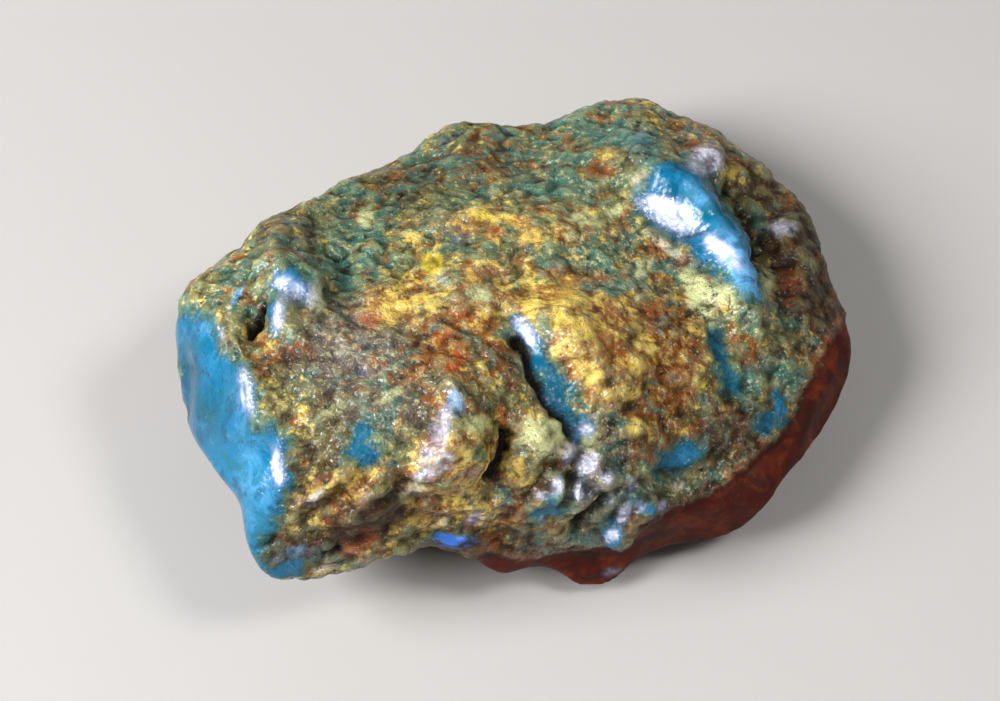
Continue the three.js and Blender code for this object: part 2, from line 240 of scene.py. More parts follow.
# The bare flank along the lower right.
FLANK_OUTLINE = (
    (4.6, -15.8), (7.7, -15.2), (10.8, -14.0), (12.7, -12.5), (15.4, -11.4), (18.1, -10.0), (19.8, -8.1),
    (21.9, -6.3), (23.1, -3.8), (24.2, -1.7), (25.4, 0.4), (26.6, 2.5), (28.5, 2.5), (28.5, -3.8),
    (23.0, -13.8), (10.8, -19.2), (-1.5, -18.5), (-2.3, -16.2), (-0.8, -15.6), (1.5, -16.3),
)

# The broad zones: gilt is golden over amber, green is teal and olive, dusty is grey and grainy, the dark
# brown zone is dark brown crust and on the show side partly painted shade, the pale glittering zone is
# painted highlight, pale and deep are lighter and darker blue resin, the pale patches on the rib being
# painted highlight, and cobalt is a blue glow. A zone's place in the list picks how it is scattered over the
# hidden sides.
ZONES = {
    "gilt": patches(
        ((3.4, 3.6), 6.4, 3.0, 1.2, 165), ((6.8, -0.8), 3.4, 3.2, 0.7), ((1.5, 9.8), 7.5, 1.7, 0.65),
        ((-7.0, 3.8), 4.4, 2.0, 0.75, 10), ((-4.2, -9.2), 4.5, 3.6, 0.8, 60),
        ((-12.5, -10.5), 4.5, 2.0, 0.8, 30),
    ),
    "green": patches(
        ((-12.0, 8.0), 8.0, 4.5, 1.0, 30), ((2.0, 13.5), 12.0, 5.0, 1.2, 10), ((4.0, 7.2), 8.0, 2.2, 1.2),
        ((22.0, -1.5), 3.5, 5.0, 0.9, 70), ((-8.5, -6.5), 3.0, 3.0, 0.8), ((5.0, -11.5), 4.0, 2.6, 0.9, 20),
        ((13.0, -9.6), 4.0, 2.0, 0.8, 20),
    ),
    "amber": patches(
        ((12.2, -1.0), 3.6, 5.0), ((8.8, 2.4), 4.0, 2.4, 0.8), ((-3.4, 0.8), 3.2, 2.6, 0.8),
        ((12.8, 7.4), 2.4, 2.4, 0.7), ((15.0, 16.2), 3.4, 2.2, 0.7, 150), ((8.5, 16.2), 3.5, 1.8, 0.55),
        ((-0.8, 14.6), 4.5, 1.8, 0.7, 10), ((5.2, 13.8), 2.6, 1.4, 0.6), ((1.0, -10.5), 3.0, 2.6, 0.6),
    ),
    "dusty": patches(
        ((-11.5, 0.0), 4.6, 3.6, 1.1, 10), ((-9.0, -4.2), 3.6, 2.4, 0.8), ((7.4, -8.6), 3.4, 3.0, 0.8),
        ((-2.0, 4.6), 3.0, 2.0, 0.5),
    ),
    # Dark brown crust, and partly painted shade: the right lobe, behind the rib, by the slit, low in front.
    "dim": patches(
        ((-10.4, -13.4), 4.4, 1.9, 1.4, 18), ((-13.5, -10.6), 4.5, 2.2, 0.5, 30),
        ((-12.6, -5.6), 3.0, 4.0, 0.45), ((-1.5, -15.0), 4.6, 1.8, 0.9),
        ((-16.5, -15.6), 3.0, 1.4, 0.9, 15), ((23.8, 6.0), 6.0, 2.8, 1.5, 112),
        ((20.8, 10.8), 4.4, 1.8, 0.7, 120), ((-6.0, 13.2), 7.5, 2.0, 0.55, 22),
        ((20.2, -0.8), 1.8, 1.8, 0.7), ((-16.0, -0.8), 2.6, 1.4, 0.6), ((-6.2, -4.4), 1.8, 2.2, 0.5),
        ((-12.2, -8.3), 1.2, 1.2, 0.9), ((-10.8, -10.5), 2.2, 1.1, 0.6, 20),
        ((-16.8, 8.6), 2.2, 1.4, 0.5, 40), ((15.6, -10.8), 2.2, 0.8, 0.7, 20), ((9.0, 14.6), 3.4, 1.4, 0.4),
        ((10.0, -13.0), 5.0, 1.6, 0.8, 25), ((18.0, -6.2), 4.0, 2.8, 0.9, 30),
        ((0.5, -1.4), 2.6, 0.9, 0.8, 115),
    ),
    # Painted highlights: pale glittering patches where highlights fall, with a full wet coat.
    "painted_highlight": patches(
        ((-16.2, 4.8), 1.8, 1.1, 1.3, 145), ((-17.0, 2.8), 1.6, 0.6, 1.5, 80),
        ((12.9, 10.5), 2.6, 1.2, 1.8, 150), ((17.2, 7.5), 2.2, 1.0, 1.4, 140),
        ((-5.5, -8.0), 1.8, 1.0, 0.9, 60), ((-4.3, -8.6), 0.9, 0.8, 1.6), ((-5.7, -9.5), 1.3, 0.5, 1.4, 10),
        ((-4.6, -6.2), 2.2, 0.8, 1.5, 78), ((-3.5, -4.0), 1.4, 0.6, 1.0, 80),
        ((-2.2, -9.4), 1.6, 0.8, 0.6, 20), ((2.0, 1.5), 1.6, 0.6, 1.7, 130),
        ((-19.5, -3.2), 2.1, 0.6, 1.5, 100), ((-17.1, -9.1), 1.7, 0.6, 1.5, 95),
        ((-15.4, -15.8), 1.8, 0.7, 0.4, 10), ((8.6, -17.0), 0.9, 0.4, 0.85, 15),
        ((-4.4, 5.5), 0.6, 0.5, 0.9), ((-3.2, 8.5), 1.5, 0.5, 0.6, 10), ((-10.5, -1.7), 0.6, 0.5, 0.8),
        ((-10.2, -11.2), 1.0, 0.5, 0.7, 40), ((21.7, 9.4), 1.2, 0.8, 1.1), ((6.6, -6.1), 0.8, 0.7, 1.2),
        ((10.1, -10.2), 0.7, 0.6, 1.2), ((-21.4, 1.4), 0.9, 0.3, 1.0, 110),
        ((6.9, -8.8), 1.0, 0.8, 1.7, 70), ((4.4, -10.4), 0.8, 0.5, 1.7, 80),
        ((9.5, -12.6), 0.9, 0.5, 1.7, 60), ((8.6, -14.2), 0.8, 0.5, 1.7, 60),
        ((10.8, -12.0), 0.6, 0.5, 1.7, 50), ((12.4, -11.9), 0.6, 0.5, 1.3, 50),
        ((8.1, -9.7), 0.7, 0.5, 1.3, 150), ((6.1, -10.3), 0.4, 0.4, 1.4), ((5.6, -7.4), 0.7, 0.5, 1.1),
        ((3.1, -11.2), 0.5, 0.4, 1.2), ((3.2, -13.0), 0.5, 0.4), ((-14.4, -11.6), 0.9, 0.5, 1.0, 42),
        ((7.6, -11.0), 4.6, 2.4, 0.45, 20), ((5.3, -8.2), 0.7, 0.6, 1.5, 40), ((5.9, -11.0), 0.7, 0.6, 1.6),
        ((-14.4, 4.2), 1.0, 1.2), ((-2.0, -13.0), 0.8, 0.5, 1.3, 20), ((15.8, 14.6), 1.2, 1.1, 2.2),
        ((-10.8, 0.0), 3.6, 1.6, 0.35, 20), ((3.5, -3.8), 0.8, 0.3, 0.8, 120),
        ((-3.0, -14.4), 0.7, 0.3, 0.8, 10),
    ),
    # The first two patches, on the rib, are painted highlight; the others are lighter blue resin.
    "pale": patches(
        ((18.8, 6.4), 2.6, 1.4, 1.8, 115), ((15.4, 11.9), 1.6, 0.8, 0.7, 140),
        ((-18.6, -10.5), 4.6, 1.6, 0.35, 105), ((-22.6, 1.8), 1.0, 0.8, 0.5),
        ((14.2, -8.0), 1.6, 0.8, 0.3, 20),
    ),
    "deep": patches(
        ((4.2, -2.6), 5.0, 1.2, 0.45, 122), ((17.4, 10.4), 2.0, 0.6, 0.8, 125),
        ((-24.2, -2.8), 3.8, 1.2, 1.2, 90), ((-22.6, -5.0), 2.4, 1.4, 0.8, 90),
        ((-10.6, -7.2), 2.6, 1.8, 0.4, 100), ((17.2, -1.2), 3.6, 1.4, 0.5, 105),
        ((20.6, -5.8), 1.8, 0.9, 1.2, 10),
    ),
    "cobalt": patches(
        ((-3.4, -14.6), 1.9, 0.9, 1.1, 5),
    ),
}

# How strongly a zone is scattered over the hidden sides, and PLAIN_SCATTER for the zones not named.
SCATTER = {"painted_highlight": 0.0, "pale": 0.0, "deep": 0.5, "cobalt": 0.0}
PLAIN_SCATTER = 0.9

# Stains and grains, with painted shade in small dark gaps and a few painted highlights, under the names of
# their colours.
STAINS_AND_PAINTED_LIGHT = {
    "teal": patches(
        ((3.8, 12.3), 1.8, 0.8, 0.9), ((9.2, -8.8), 1.0, 0.8, 0.9), ((3.6, 6.8), 1.6, 0.7, 0.9),
        ((-9.3, 8.4), 0.7, 1.1, 0.9), ((-11.9, 6.0), 1.0, 2.0, 1.1, 10), ((8.4, 16.6), 3.0, 1.2),
        ((11.2, 15.6), 1.6, 1.6, 1.1), ((8.6, 4.8), 3.2, 0.9, 0.9), ((3.4, 2.0), 1.3, 0.7, 0.9, 120),
        ((0.2, 1.4), 1.0, 0.7, 0.8), ((-12.0, -8.3), 1.0, 0.9, 0.8), ((-1.5, -8.2), 0.9, 0.9, 0.6),
        ((19.9, 10.0), 0.8, 1.8, 1.2, 20), ((-17.6, -15.0), 1.4, 0.9), ((-13.4, -15.4), 1.5, 0.7, 1.0, 10),
        ((19.0, -2.4), 2.4, 1.6, 0.7, 110), ((-18.6, -12.6), 0.8, 2.0, 0.8),
    ),
    "lime": patches(
        ((3.4, -6.5), 2.0, 1.7, 1.2), ((6.6, -7.1), 1.4, 1.0, 0.8), ((15.3, 4.4), 2.4, 1.0, 1.5, 115),
        ((17.6, 4.6), 1.8, 0.9, 1.4, 10), ((6.6, 10.2), 1.8, 0.9, 0.8), ((8.9, 11.0), 1.0, 0.8, 0.8),
        ((-10.3, 10.2), 0.9, 1.1, 0.9), ((11.0, 6.3), 1.2, 0.8, 0.8, 60), ((21.8, -0.6), 1.4, 0.9, 0.4, 30),
        ((-2.0, -5.6), 1.3, 0.8), ((-14.0, 4.0), 1.0, 1.2, 0.9), ((20.5, 5.2), 0.9, 1.8, 0.8),
        ((-1.8, 4.2), 1.3, 0.9, 0.8), ((-4.6, 5.4), 1.4, 0.8, 0.6), ((10.4, 4.0), 1.0, 0.8, 0.5),
        ((5.6, 8.8), 1.4, 0.7, 0.7), ((-8.8, -3.6), 2.2, 0.7, 0.7, 30), ((-12.8, -4.4), 2.2, 0.8, 0.7, 20),
        ((24.0, 6.6), 1.4, 0.6, 0.7, 100),
    ),
    "gold": patches(
        ((-8.6, 3.1), 1.5, 1.0, 1.0, 20), ((10.5, -1.1), 0.8, 1.0, 1.1), ((6.6, 1.5), 1.2, 0.8),
        ((9.5, -3.4), 1.3, 0.8, 1.1, 20), ((7.3, -2.0), 0.9, 0.6, 1.0, 40), ((10.6, -5.8), 1.0, 0.8),
        ((2.4, 8.8), 1.5, 0.7, 0.75), ((-0.4, 10.2), 1.0, 0.7, 0.7), ((-6.8, 8.6), 1.2, 0.8, 0.8),
        ((5.2, 3.9), 1.2, 0.8, 0.8), ((10.6, 1.8), 1.0, 0.7, 0.6), ((15.0, 1.6), 1.0, 0.8, 0.6),
        ((17.6, 13.7), 0.9, 0.8, 0.7), ((-6.6, -12.9), 1.6, 0.7, 0.7, 15), ((8.2, 15.2), 0.9, 0.6, 0.7),
        ((1.5, -9.3), 0.7, 0.9, 0.8), ((-11.6, -9.5), 1.6, 0.6, 0.6, 38),
    ),
    "yellow": patches(
        ((-5.2, 6.8), 0.9, 1.0, 1.2), ((-15.1, -4.5), 0.7, 0.5, 0.7), ((15.6, -2.6), 0.6, 0.5, 0.7),
        ((-1.2, 10.4), 1.2, 0.6, 0.8, 160), ((4.6, 2.4), 1.6, 1.0, 0.5, 20),
    ),
    "amber": patches(
        ((-5.6, -0.4), 1.2, 1.6, 0.8), ((7.8, 13.8), 1.8, 0.9, 0.8), ((8.6, 0.4), 1.8, 0.9, 1.15, 150),
        ((11.6, 2.6), 1.2, 1.4, 0.9), ((7.8, 5.5), 1.4, 0.7, 0.8), ((4.4, 4.4), 0.9, 0.6, 0.8, 40),
    ),
    "rust": patches(
        ((-9.8, 2.5), 1.3, 0.9, 0.9), ((-4.3, 1.2), 1.3, 1.1, 0.8), ((-3.4, -0.8), 1.8, 0.9, 0.75, 70),
        ((-3.0, 2.8), 1.5, 0.6, 0.7, 160), ((-0.4, 9.1), 1.0, 0.6, 0.8, 20),
        ((18.6, -9.1), 1.5, 0.7, 0.7, 35), ((0.2, -5.2), 1.3, 0.7, 0.8, 100), ((8.6, -3.9), 1.8, 0.9, 0.6),
        ((11.8, -8.2), 0.6, 0.8, 0.9), ((-10.4, -14.2), 0.9, 1.0, 0.9), ((-11.6, -15.4), 1.4, 0.7, 0.9, 10),
        ((22.2, 5.0), 1.5, 2.0, 0.7), ((16.0, 14.3), 0.4, 0.3, 1.2),
    ),
    # The one on the right ridge bead is a painted highlight.
    "cream": patches(
        ((-6.6, -10.7), 1.5, 0.8, 0.8, 15), ((-4.4, -13.2), 1.0, 0.6, 0.6, 10), ((5.0, -7.6), 1.2, 0.7),
        ((21.8, 9.4), 1.3, 0.9), ((-11.6, 0.8), 2.6, 1.4, 0.4, 20), ((10.9, 13.0), 0.9, 1.0, 1.1),
        ((13.0, 7.9), 2.4, 0.6, 0.9, 144), ((-13.8, -11.0), 1.0, 0.5, 0.55, 38), ((13.7, -10.4), 0.5, 0.5),
        ((-9.6, -2.0), 2.0, 0.6, 0.45, 20), ((-13.4, -16.6), 1.4, 0.5, 0.7, 15),
    ),
    # The first, on the back knob, is a painted highlight.
    "pale": patches(
        ((-4.1, 15.9), 1.4, 0.9, 0.45, 10), ((10.8, 16.2), 1.1, 1.5, 0.6), ((-3.3, -3.9), 0.8, 1.2, 0.9),
        ((-20.2, 4.2), 1.4, 0.4, 0.8, 60), ((-16.0, -15.8), 1.8, 0.8, 1.0, 10),
    ),
    "cobalt": patches(
        ((-3.4, -14.7), 1.5, 0.6, 1.3),
    ),
    "bark": patches(
        ((2.8, -11.0), 1.3, 0.9, 1.1), ((10.0, 1.6), 1.1, 0.8, 0.8, 30), ((8.5, -2.5), 0.7, 0.6, 1.2),
        ((9.6, -4.3), 1.2, 0.6, 0.8), ((-9.4, -12.7), 2.4, 1.4, 1.0, 20),
    ),
    # Mostly painted shade: the pit's slit, the crevice behind the rib, gaps between droplets, the tooth's
    # hollows.
    "dark": patches(
        ((-7.3, 11.6), 1.6, 0.8, 0.7, 20), ((-14.6, 9.0), 0.8, 2.0, 0.8), ((-18.4, 2.6), 1.9, 0.4, 1.3, 65),
        ((7.4, -12.4), 1.6, 0.9, 0.9, 40), ((3.9, -9.6), 0.9, 0.5, 1.0, 80),
        ((5.7, -9.6), 0.6, 0.3, 0.9, 80), ((6.9, -11.0), 1.3, 0.5, 1.1, 20),
        ((10.0, -11.0), 0.9, 0.4, 1.0, 40), ((11.4, -12.9), 0.7, 0.5, 1.0, 40),
        ((16.6, -10.4), 1.8, 0.6, 0.9, 20), ((18.9, 10.0), 0.6, 2.2, 0.8, 25),
        ((-17.5, -15.0), 0.8, 0.6, 1.1, 20), ((-13.1, -15.5), 0.9, 0.5, 1.1, 20),
    ),
}


def linear(level):
    """A display level, 0 to 255, as the linear one that shaders take."""
    share = level / 255
    return share / 12.92 if share <= 0.04045 else ((share + 0.055) / 1.055) ** 2.4


def tint(name, description, *levels):
    """A colour that a user may change, with its default as display levels of red, green and blue."""
    return FloatVectorProperty(
        name=name, description=description, default=tuple(linear(level) for level in levels),
        size=3, min=0.0, max=1.0, subtype="COLOR",
    )


def length(name, description, default, low, high):
    """A length that a user may change, given in millimetres."""
    return FloatProperty(
        name=name, description=description, default=default * MM, min=low * MM, max=high * MM,
        unit="LENGTH", precision=5,
    )


class AmberColours(bpy.types.PropertyGroup):
    """The nugget's colours."""

    fresh: tint("Fresh blue", "Resin where it is freshly broken", 4, 98, 134)
    pale: tint("Pale blue", "Fresh resin where it is thin", 98, 168, 214)
    deep: tint("Deep blue", "Fresh resin where it is thick", 10, 66, 88)
    sea: tint("Sea blue", "Fresh resin where it meets the crust", 16, 86, 92)
    teal: tint("Teal", "Thin crust over blue resin", 44, 104, 92)
    teal_green: tint("Teal green", "Broad tint of the back", 104, 114, 76)
    cobalt: tint("Cobalt", "Glow at the notch", 4, 112, 226)
    # Painted highlight: the middle and the bluish rim of the pale glittering patches.
    painted_highlight: tint("Frost", "Middle of a glittering glaze", 236, 236, 250)
    highlight_halo: tint("Halo", "Rim of a glittering glaze", 140, 150, 204)
    gold: tint("Gold", "Crust with light behind it", 234, 200, 92)
    yellow: tint("Yellow", "Brightest spots", 226, 200, 54)
    lime: tint("Pale lime", "Crumbly patches", 208, 212, 150)
    cream: tint("Cream", "Grains", 214, 204, 172)
    rust: tint("Rust", "Iron stain", 168, 72, 12)
    amber: tint("Amber", "Bare golden resin", 142, 78, 12)
    bark: tint("Bark", "Dim brown crust", 54, 32, 11)
    olive: tint("Olive", "Plain crust", 100, 94, 52)
    grey: tint("Grey", "Dusty crust", 104, 94, 84)
    dark: tint("Dark", "Shaded pits", 22, 16, 12)
    flank: tint("Cognac", "The lower flank, bare resin", 76, 16, 3)
    floor: tint("Floor", "Studio floor", 168, 165, 161)


class AmberSizes(bpy.types.PropertyGroup):
    """The nugget's sizes."""

    grid: length("Surface grid", "Spacing of the sculpted surface's points", 0.264, 0.2, 1.0)
    relief: FloatProperty(
        name="Relief", description="Multiplies the height of the crust's lumps", default=1.0, min=0.0, max=2.0
    )
    crumbs: length("Crumbs", "Height of the crust's crumbs", 0.30, 0.0, 1.0)
    grain: length("Grain", "Height of the crust's finest grains", 0.16, 0.0, 0.5)
    seed: IntProperty(name="Seed", description="Changes the zones of the hidden sides", default=4, min=0)


def show_plan(points):
    """Where points, in millimetres, lie on the show side's plan."""
    offset = points - MIDDLE
    reach = VIEW_REACH / (VIEW_REACH - offset @ OUT)
    return (offset @ RIGHT) * reach, (offset @ UP) * reach


def smoothstep(low, high, values):
    """0 up to low, 1 from high on, and a soft rise between them."""
    share = np.clip((values - low) / (high - low), 0.0, 1.0)
    return share * share * (3 - 2 * share)


def bell(distance, width):
    """1 where the distance is 0, fading to nothing past the width."""
    return np.exp(-((distance / width) ** 2))


def oval_share(mark, u, v):
    """How strongly an oval acts: 1 at its middle, fading to nothing past its edge."""
    turn = math.radians(mark.turn)
    du, dv = u - mark.at[0], v - mark.at[1]
    along = du * math.cos(turn) + dv * math.sin(turn)
    aside = dv * math.cos(turn) - du * math.sin(turn)
    return bell(along, mark.long) * bell(aside, mark.wide)


def distance_to_stretch(start, end, u, v):
    (au, av), (bu, bv) = start, end
    du, dv = bu - au, bv - av
    share = np.clip(((u - au) * du + (v - av) * dv) / (du * du + dv * dv), 0.0, 1.0)
    return np.hypot(u - au - share * du, v - av - share * dv)


def distance_to_path(path, u, v):
    return np.min([distance_to_stretch(a, b, u, v) for a, b in zip(path, path[1:])], axis=0)


def offset_from_path(path, u, v):
    """How far places lie from a path, below 0 on the right-hand side of the way it runs."""
    nearest = np.full(len(u), np.inf)
    for (au, av), (bu, bv) in zip(path, path[1:]):
        distance = distance_to_stretch((au, av), (bu, bv), u, v)
        is_left = (bu - au) * (v - av) > (bv - av) * (u - au)
        nearest = np.where(distance < np.abs(nearest), np.where(is_left, distance, -distance), nearest)
    return nearest


def depth_inside(outline, u, v):
    """How far inside an outline places lie, below 0 outside it."""
    inside = np.zeros(len(u), bool)
    for (au, av), (bu, bv) in zip(outline, outline[1:] + outline[:1]):
        if av != bv:
            crosses = (av > v) != (bv > v)
            inside ^= crosses & (u < (bu - au) * (v - av) / (bv - av) + au)
    distance = distance_to_path(outline + outline[:1], u, v)
    return np.where(inside, distance, -distance)


def noise_places(points, size, seed):
    shift = Vector((seed * 13.7, seed * 5.3, seed * 9.1))
    return [Vector(p) / size + shift for p in points]


def noise_field(points, size, seed, octaves=1):
    """Noise at points, about -1 to 1, with lumps of a size in millimetres."""
    places = noise_places(points, size, seed)
    if octaves > 1:
        return np.array([noise.fractal(p, 0.9, 2.1, octaves) for p in places])
    return np.array([noise.noise(p) for p in places])


def grain_field(points, size, seed):
    """Uneven grains packed side by side: about 0.5 on top of each, below 0 in the cracks between them."""
    noise.seed_set(GRAIN_SEED)
    places = noise_places(points, size, seed)
    return np.array([0.5 - noise.voronoi(p + 0.35 * noise.noise_vector(p))[0][0] for p in places])


def mesh_points(mesh):
    points = np.empty(len(mesh.vertices) * 3)
    mesh.vertices.foreach_get("co", points)
    return points.reshape(-1, 3) / MM


def mesh_normals(mesh):
    normals = np.empty(len(mesh.vertices) * 3, np.float32)
    mesh.vertex_normals.foreach_get("vector", normals)
    return normals.reshape(-1, 3).astype(float)


def store(mesh, name, values):
    """Keeps a number or a colour for each point."""
    kind, key = ("FLOAT", "value") if values.ndim == 1 else ("FLOAT_COLOR", "color")
    attribute = mesh.attributes.new(name, kind, "POINT")
    attribute.data.foreach_set(key, values.astype(np.float32).ravel())


@contextmanager
def reshaped(mesh):
    """Opens a mesh as a bmesh, and writes what was done to it back."""
    shape = bmesh.new()
    shape.from_mesh(mesh)
    yield shape
    shape.to_mesh(mesh)
    shape.free()


def gridded_copy(node, grid):
    """A merged copy of a solid's mesh, rounded between its points and laid out again as an even grid."""
    mesh = node.data.copy()
    with reshaped(mesh) as shape:
        bmesh.ops.remove_doubles(shape, verts=shape.verts, dist=1e-7)
    piece = bpy.data.objects.new("blue_amber", mesh)
    bpy.context.scene.collection.objects.link(piece)
    rounding = piece.modifiers.new("Rounding", "SUBSURF")
    rounding.levels = rounding.render_levels = ROUNDING_LEVELS
    even = piece.modifiers.new("Even grid", "REMESH")
    even.mode = "VOXEL"
    even.voxel_size = grid
    bpy.context.view_layer.update()
    evaluated = piece.evaluated_get(bpy.context.evaluated_depsgraph_get())
    finished = bpy.data.meshes.new_from_object(evaluated)
    piece.modifiers.clear()
    piece.data = finished
    bpy.data.meshes.remove(mesh)
    with reshaped(finished) as shape:
        for _ in range(SMOOTHING_ROUNDS):
            bmesh.ops.smooth_vert(
                shape, verts=shape.verts, factor=0.5, use_axis_x=True, use_axis_y=True, use_axis_z=True
            )
        bmesh.ops.recalc_face_normals(shape, faces=shape.faces)
    return piece


class Surface:
    """The nugget's surface while it is sculpted: its points, their places on the plan, and its fields."""

    def __init__(self, mesh, sizes):
        self.mesh = mesh
        self.sizes = sizes
        self.points = mesh_points(mesh)
        self.read()
        self.start = self.points.copy()
        self.fresh = self.fresh_field()
        self.flank = self.flank_field()

    def read(self):
        """Takes the normals and plan places anew. Facing is 1 on the show side, 0 on the hidden sides."""
        self.normals = mesh_normals(self.mesh)
        self.u, self.v = show_plan(self.points)
        self.facing = smoothstep(-FACING_EDGE, FACING_EDGE, self.normals @ OUT)

    def push(self, heights):
        """Moves the points out along the surface, and keeps the patch that it rests on."""
        free = smoothstep(*REST_HOLD, self.start[:, 2])
        self.points = self.points + self.normals * (heights * free)[:, None]
        self.points[:, 2] = np.maximum(self.points[:, 2], 0.0)
        self.mesh.vertices.foreach_set("co", (self.points * MM).ravel())
        self.mesh.update()
        self.read()

    def wandering_plan(self, reach, size, seed):
        """The plan places, drawn aside by noise, so that what is laid on them has no even edge."""
        u = self.u + reach * noise_field(self.points, size, seed, octaves=2)
        v = self.v + reach * noise_field(self.points, size, seed + 1, octaves=2)
        return u, v

    def fresh_field(self):
        """1 on fresh blue resin, 0.5 at its edge, 0 on crust. The left end's runs on round the back."""
        ragged = 0.45 * noise_field(self.points, 1.5, seed=6, octaves=2)
        raggedness = HIDDEN_RAGGEDNESS - (HIDDEN_RAGGEDNESS - 1) * self.facing
        left_end = np.maximum(self.facing, smoothstep(0.1, 0.4, -self.normals[:, 0]))
        field = np.zeros(len(self.points))
        for outline in FRESH_OUTLINES:
            depth = depth_inside(outline, self.u, self.v) + ragged * raggedness
            seen = left_end if outline is FRESH_OUTLINES[0] else self.facing
            field = np.maximum(field, seen * (0.5 + 0.5 * np.clip(depth / FRESH_EDGE, -1, 1)))
        u, v = self.wandering_plan(0.55, 1.3, seed=13)
        for spot in FRESH_SPOTS:
            share = 1.25 * oval_share(spot, u, v) + 0.3 * ragged
            field = np.maximum(field, self.facing * spot.height * np.clip(share, 0, 1))
        return field

    def flank_field(self):
        """1 on the bare lower flank, 0.5 at its edge."""
        depth = depth_inside(FLANK_OUTLINE, self.u, self.v)
        return 0.5 + 0.5 * np.clip(depth / FLANK_EDGE, -1, 1)


def sculpt_marks(surface):
    """Works the named knobs, ledges and creases into the show side."""
    u, v = surface.wandering_plan(0.35, 1.9, seed=11)
    heights = sum(knob.height * oval_share(knob, u, v) for knob in KNOBS)
    for ledge in LEDGES:
        offset = offset_from_path(ledge.path, u, v)
        share = np.where(offset < 0, smoothstep(-ledge.foot, 0, offset), bell(offset, ledge.drop))
        heights += ledge.height * share
    for crease in CREASES:
        heights -= crease.depth * bell(distance_to_path(crease.path, u, v), crease.wide)
    surface.push(surface.facing * heights)


def sculpt_crust(surface):
    """Works the crust's own lumps, cracks and crumbs into the surface, and sets the bare flank back."""
    points = surface.points
    crust = 1 - smoothstep(0.3, 0.9, surface.fresh)
    bare = smoothstep(0.4, 0.6, surface.flank)
    lumps = 0.34 * noise_field(points, 3.0, seed=1, octaves=2)
    lumps += 0.14 * noise_field(points, 1.3, seed=2, octaves=2)
    cracks = 0.14 * (1 - smoothstep(0.0, 0.22, np.abs(noise_field(points, 1.7, seed=3))))
    crumbly = 0.35 + 0.65 * smoothstep(-0.25, 0.25, noise_field(points, 4.5, seed=7))
    crumbs = grain_field(points, 1.5, seed=8) + 0.55 * grain_field(points, 0.8, seed=9)
    crumbs = surface.sizes.crumbs / MM * crumbly * crumbs
    heights = crust * (1 - 0.75 * bare) * (lumps - cracks + crumbs)
    heights += (1 - crust) * 0.10 * noise_field(points, 2.6, seed=5)
    heights -= 0.30 * bare
    surface.push(surface.sizes.relief * heights)


def hollows(surface, rounds):
    """How far each point lies below the smoothed surface round it, in millimetres, and below 0 on crests."""
    edges = np.empty(len(surface.mesh.edges) * 2, np.int32)
    surface.mesh.edges.foreach_get("vertices", edges)
    start, end = edges.reshape(-1, 2).T
    count = np.bincount(edges)
    smooth = surface.points
    for _ in range(rounds):
        total = [
            np.bincount(start, smooth[end, axis], len(count))
            + np.bincount(end, smooth[start, axis], len(count))
            for axis in range(3)
        ]
        smooth = np.column_stack(total) / count[:, None]
    return np.einsum("ij,ij->i", smooth - surface.points, surface.normals)


def zone_field(surface, kind, seed):
    """How strongly a zone acts, 0 to 1: laid out on the show side, and scattered over the hidden sides."""
    laid = np.max([patch.strength * oval_share(patch, surface.u, surface.v) for patch in ZONES[kind]], axis=0)
    scattered = smoothstep(0.0, 0.7, noise_field(surface.points, 7.0, seed, octaves=2))
    scattered *= SCATTER.get(kind, PLAIN_SCATTER)
    return np.clip(surface.facing * laid + (1 - surface.facing) * scattered, 0, 1)


def store_stains_and_painted_light(surface, colours):
    """Stores the colour that the stains, painted shade and painted highlights mix to at each point, and how
    strong the strongest is there.
    """
    total = np.full(len(surface.points), 1e-6)
    mixed = np.zeros((len(surface.points), 3))
    strongest = np.zeros(len(surface.points))
    for colour, marks in STAINS_AND_PAINTED_LIGHT.items():
        for mark in marks:
            share = surface.facing * mark.strength * oval_share(mark, surface.u, surface.v)
            total += share ** 3
            mixed += (share ** 3)[:, None] * np.array(getattr(colours, colour))
            strongest = np.maximum(strongest, share)
    store(surface.mesh, "stain", np.column_stack((mixed / total[:, None], np.ones(len(total)))))
    store(surface.mesh, "stained", strongest)


def paint(surface, colours):
    """Stores the zones, stains, fresh places, the painted shade of hollows and creases, and the crests, for
    the finish to read.
    """
    for place, kind in enumerate(ZONES):
        store(surface.mesh, kind, zone_field(surface, kind, 20 + place + surface.sizes.seed))
    store_stains_and_painted_light(surface, colours)
    store(surface.mesh, "fresh", surface.fresh)
    store(surface.mesh, "flank", surface.flank)
    fine, broad = hollows(surface, FINE_ROUNDS), hollows(surface, BROAD_ROUNDS)
    # Painted shade: how much darker each point is painted for lying in a hollow or crease.
    store(surface.mesh, "shaded_hollow", smoothstep(0.015, 0.10, fine) * 0.6 + smoothstep(0.12, 0.7, broad) * 0.7)
    store(surface.mesh, "crest", smoothstep(0.015, 0.09, -fine))


MIX_COLOURS = (6, 7)  # which of a Mix node's inputs are its two colours: their names don't tell them apart
MIX_RESULT = 2  # which of its outputs is the mixed colour


